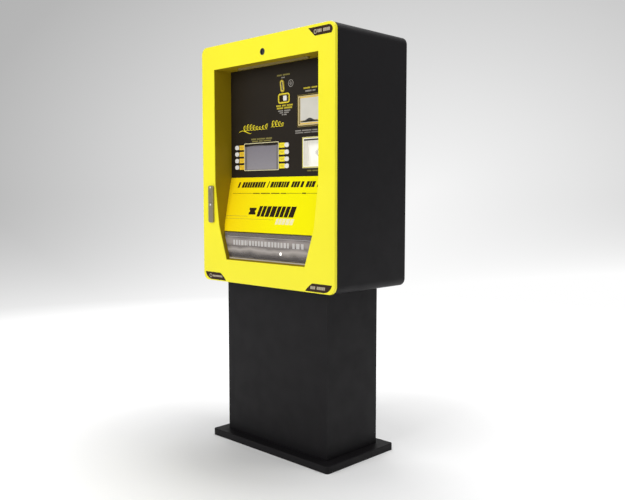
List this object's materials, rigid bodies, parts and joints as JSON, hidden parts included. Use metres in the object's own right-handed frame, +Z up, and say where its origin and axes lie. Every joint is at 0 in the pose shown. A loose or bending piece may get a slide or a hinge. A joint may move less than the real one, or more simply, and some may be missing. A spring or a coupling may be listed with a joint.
{
  "type": "ticket vending machine",
  "caption": "Pedestal-mounted ticket vending machine: black cabinet whose hinged door holds a recessed panel with screen, keys, coin and note inlets, card pocket and a dispensing flap.",
  "frame": {"origin": "on the floor, under the middle of the cabinet", "axes": "+Z up, the front faces -Y, +X to the right seen from the front"},
  "size_m": [0.8, 0.456, 1.728],
  "materials": {
    "body_black": "fine satin powder coat",
    "door_yellow": "gloss powder coat",
    "liner_yellow": "gloss powder coat",
    "fascia_yellow": "printed overlay, satin gloss",
    "panel_black": "printed overlay, satin",
    "galvanised": "zinc plated",
    "steel": "brushed",
    "zinc_casting": "satin nickel",
    "chrome": "bright",
    "frame_trim": "satin",
    "button_silver": "gloss",
    "bezel_gold": "satin",
    "pocket_white": "translucent white",
    "screen": "anti-glare glass",
    "lens": "coated glass",
    "flap_clear": "clear smoked polycarbonate",
    "rubber_black": "matt",
    "device_plastic": "matt",
    "device_grey": "satin",
    "light_diffuser": "opal",
    "paper": "uncoated",
    "badge_black": "satin"
  },
  "bodies": {
    "cabinet": {"base_plate": "body_black", "pedestal_shell": "body_black", "pedestal_rear_cover": "body_black", "frame_bolts": "galvanised", "cabinet_shell": "body_black", "rear_panel": "body_black", "cover_screws": "galvanised", "exhaust_hood": "body_black", "fan_housing": "device_plastic", "hinge_arms": "zinc_casting", "equipment_plate": "galvanised", "industrial_computer": "device_grey", "power_supply": "galvanised", "cable_gland": "device_plastic"},
    "door": {"door_frame": "door_yellow", "door_stiffener": "galvanised", "door_seal": "rubber_black", "recess_liner": "liner_yellow", "light_strip": "light_diffuser", "lower_fascia": "fascia_yellow", "user_panel": "panel_black", "display_frame": "frame_trim", "display_glass": "screen", "display_module": "device_plastic", "coin_slot_bezel": "fascia_yellow", "coin_acceptor": "device_plastic", "coin_return_frame": "fascia_yellow", "note_inlet_bezel": "bezel_gold", "note_validator": "device_plastic", "card_pocket": "pocket_white", "camera_module": "device_plastic", "camera_lens": "lens", "device_shelf": "galvanised", "receipt_printer": "device_grey", "card_dispenser": "device_grey", "coin_box": "galvanised", "dispensing_tray": "steel", "flap_hinge_pin": "chrome", "handle_escutcheon": "zinc_casting", "lock_guides": "galvanised", "corner_badges": "badge_black", "door_hinge_pins": "zinc_casting"},
    "handle_hub": {"handle_hub": "zinc_casting", "lock_cam": "galvanised"},
    "handle_lever": {"handle_lever": "zinc_casting"},
    "lock_cylinder": {"lock_cylinder": "chrome"},
    "lock_rod_upper": {"lock_rod_upper": "galvanised"},
    "lock_rod_lower": {"lock_rod_lower": "galvanised"},
    "dispensing_flap": {"dispensing_flap": "flap_clear"},
    "coin_return_button": {"coin_return_button": "button_silver"},
    "paper_roll": {"paper_roll": "paper"},
    "fan_rotor": {"fan_rotor": "device_plastic"},
    "button_left_1": {"button_left_1": "button_silver"},
    "button_left_2": {"button_left_2": "button_silver"},
    "button_left_3": {"button_left_3": "button_silver"},
    "button_left_4": {"button_left_4": "button_silver"},
    "button_right_1": {"button_right_1": "button_silver"},
    "button_right_2": {"button_right_2": "button_silver"},
    "button_right_3": {"button_right_3": "button_silver"},
    "button_right_4": {"button_right_4": "button_silver"}
  },
  "joints": [
    {"name": "door_swing", "type": "hinge", "parent": "cabinet", "child": "door", "pos_m": [0.394, -0.2095, 1.2175], "axis": [0, 0, 1], "range_deg": [0, 100]},
    {"name": "handle_turn", "type": "hinge", "parent": "door", "child": "handle_hub", "pos_m": [-0.334, -0.216, 1.0885], "axis": [0, -1, 0], "range_deg": [0, 90]},
    {"name": "lever_lift", "type": "hinge", "parent": "handle_hub", "child": "handle_lever", "pos_m": [-0.334, -0.2258, 1.0485], "axis": [-1, 0, 0], "range_deg": [0, 35]},
    {"name": "lock_key_turn", "type": "hinge", "parent": "handle_hub", "child": "lock_cylinder", "pos_m": [-0.334, -0.228, 1.0885], "axis": [0, -1, 0], "range_deg": [0, 90]},
    {"name": "rod_upper_slide", "type": "slide", "parent": "door", "child": "lock_rod_upper", "axis": [0, 0, -1], "range_m": [0, 0.017]},
    {"name": "rod_lower_slide", "type": "slide", "parent": "door", "child": "lock_rod_lower", "axis": [0, 0, 1], "range_m": [0, 0.017]},
    {"name": "flap_swing", "type": "hinge", "parent": "door", "child": "dispensing_flap", "pos_m": [0, -0.192, 0.92], "axis": [1, 0, 0], "range_deg": [0, 50]},
    {"name": "coin_return_press", "type": "slide", "parent": "door", "child": "coin_return_button", "axis": [0, 1, 0], "range_m": [0, 0.003], "stiffness_N_per_m": 400},
    {"name": "paper_roll_spin", "type": "hinge", "parent": "door", "child": "paper_roll", "pos_m": [-0.2, -0.041, 1.166], "axis": [1, 0, 0], "continuous": true},
    {"name": "fan_spin", "type": "hinge", "parent": "cabinet", "child": "fan_rotor", "pos_m": [0, 0.2, 1.59], "axis": [0, 1, 0], "continuous": true},
    {"name": "press_left_1", "type": "slide", "parent": "door", "child": "button_left_1", "axis": [0, 1, 0], "range_m": [0, 0.003], "stiffness_N_per_m": 400},
    {"name": "press_left_2", "type": "slide", "parent": "door", "child": "button_left_2", "axis": [0, 1, 0], "range_m": [0, 0.003], "stiffness_N_per_m": 400},
    {"name": "press_left_3", "type": "slide", "parent": "door", "child": "button_left_3", "axis": [0, 1, 0], "range_m": [0, 0.003], "stiffness_N_per_m": 400},
    {"name": "press_left_4", "type": "slide", "parent": "door", "child": "button_left_4", "axis": [0, 1, 0], "range_m": [0, 0.003], "stiffness_N_per_m": 400},
    {"name": "press_right_1", "type": "slide", "parent": "door", "child": "button_right_1", "axis": [0, 1, 0], "range_m": [0, 0.003], "stiffness_N_per_m": 400},
    {"name": "press_right_2", "type": "slide", "parent": "door", "child": "button_right_2", "axis": [0, 1, 0], "range_m": [0, 0.003], "stiffness_N_per_m": 400},
    {"name": "press_right_3", "type": "slide", "parent": "door", "child": "button_right_3", "axis": [0, 1, 0], "range_m": [0, 0.003], "stiffness_N_per_m": 400},
    {"name": "press_right_4", "type": "slide", "parent": "door", "child": "button_right_4", "axis": [0, 1, 0], "range_m": [0, 0.003], "stiffness_N_per_m": 400}
  ],
  "couplings": [
    {"joint": "rod_upper_slide", "follows": "handle_turn", "m_per_rad": 0.010822},
    {"joint": "rod_lower_slide", "follows": "handle_turn", "m_per_rad": 0.010822}
  ]
}
